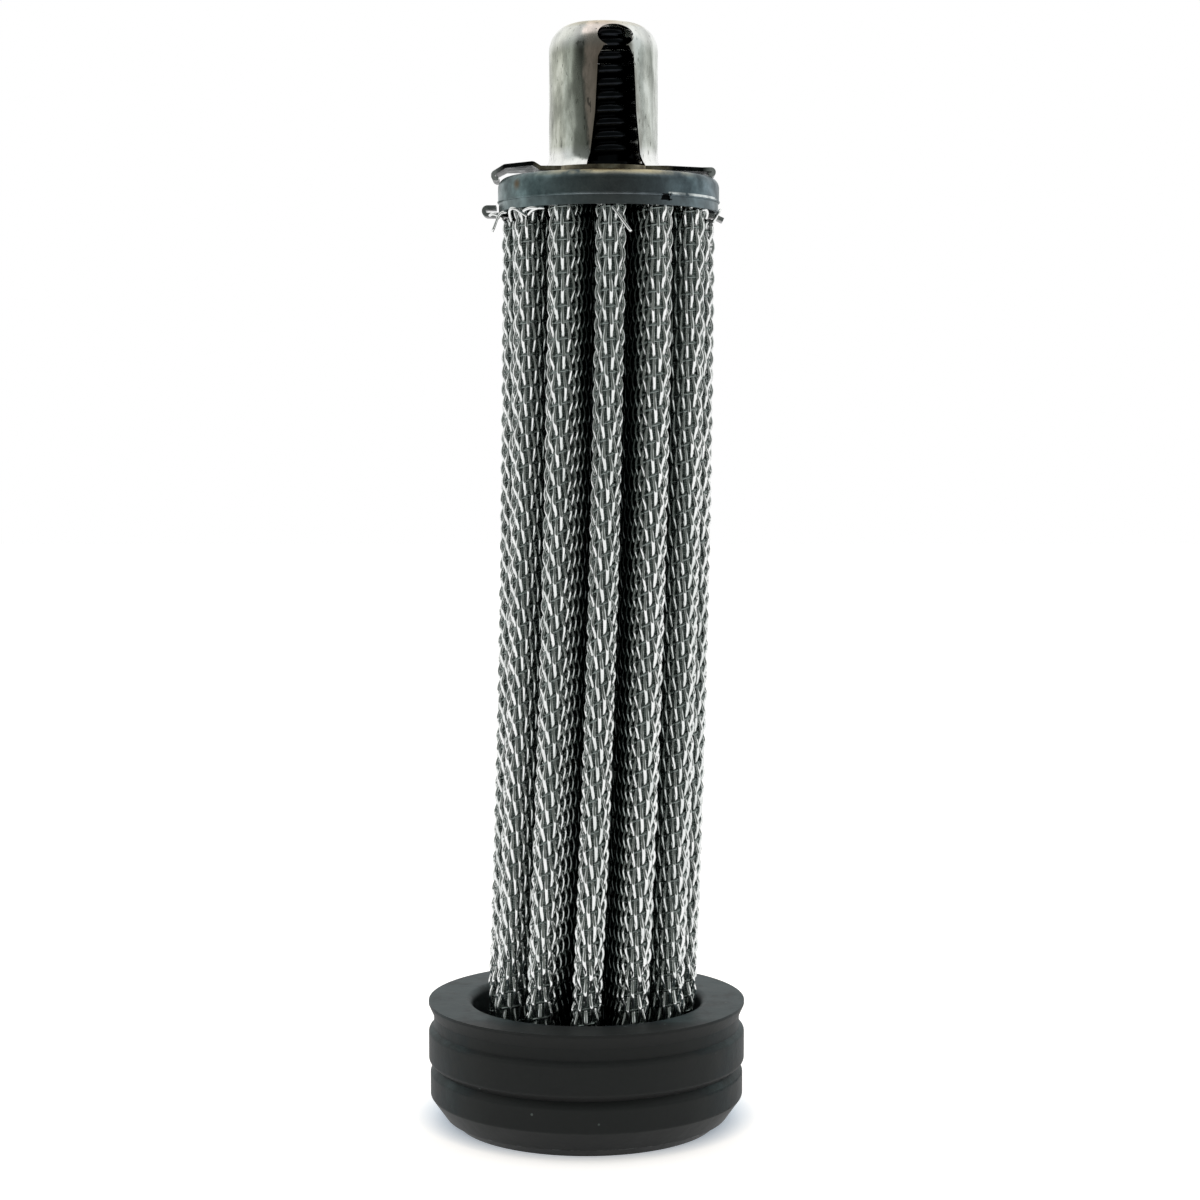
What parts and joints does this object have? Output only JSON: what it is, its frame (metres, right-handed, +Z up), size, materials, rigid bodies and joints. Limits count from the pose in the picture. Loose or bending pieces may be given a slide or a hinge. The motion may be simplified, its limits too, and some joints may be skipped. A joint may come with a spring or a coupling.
{
  "type": "oil filter cartridge",
  "caption": "Upright pleated wire-mesh oil strainer with a spring relief valve under a windowed dome and a ribbed rubber sealing collar.",
  "frame": {"origin": "centre of the rubber collar's underside, on the surface it stands on", "axes": "+Z up along the collar's axis, -Y towards the front with the first window, the pack bends towards +X"},
  "size_m": [0.04, 0.0398, 0.1372],
  "materials": {
    "nitrile_rubber": "matte moulded",
    "zinc_plated_steel": "dull zinc plate",
    "cast_resin": "cast",
    "woven_wire": "drawn wire",
    "fine_wire_cloth": "fine woven wire",
    "dark_spring_steel": "oiled",
    "fibre_washer": "pressed fibre",
    "spring_wire": "drawn, blackened",
    "bright_nickel_plate": "worn bright plate"
  },
  "bodies": {
    "cartridge": {"rubber_collar": "nitrile_rubber", "lower_cup": "zinc_plated_steel", "lower_bond": "cast_resin", "core_tube": "zinc_plated_steel", "inner_mesh": "woven_wire", "filter_mesh": "fine_wire_cloth", "outer_mesh": "woven_wire", "seam_clip": "zinc_plated_steel", "upper_bond": "cast_resin", "end_cap": "zinc_plated_steel", "lower_strip": "dark_spring_steel", "upper_strip": "dark_spring_steel", "seat_washer": "fibre_washer", "valve_spring": "spring_wire", "valve_cage": "bright_nickel_plate"},
    "valve": {"valve_plate": "zinc_plated_steel"}
  },
  "joints": [
    {"name": "relief_lift", "type": "slide", "parent": "cartridge", "child": "valve", "axis": [0, 0, 1], "range_m": [0, 0.004], "stiffness_N_per_m": 800, "springref_m": -0.0075, "deforming": ["valve_spring"]}
  ]
}
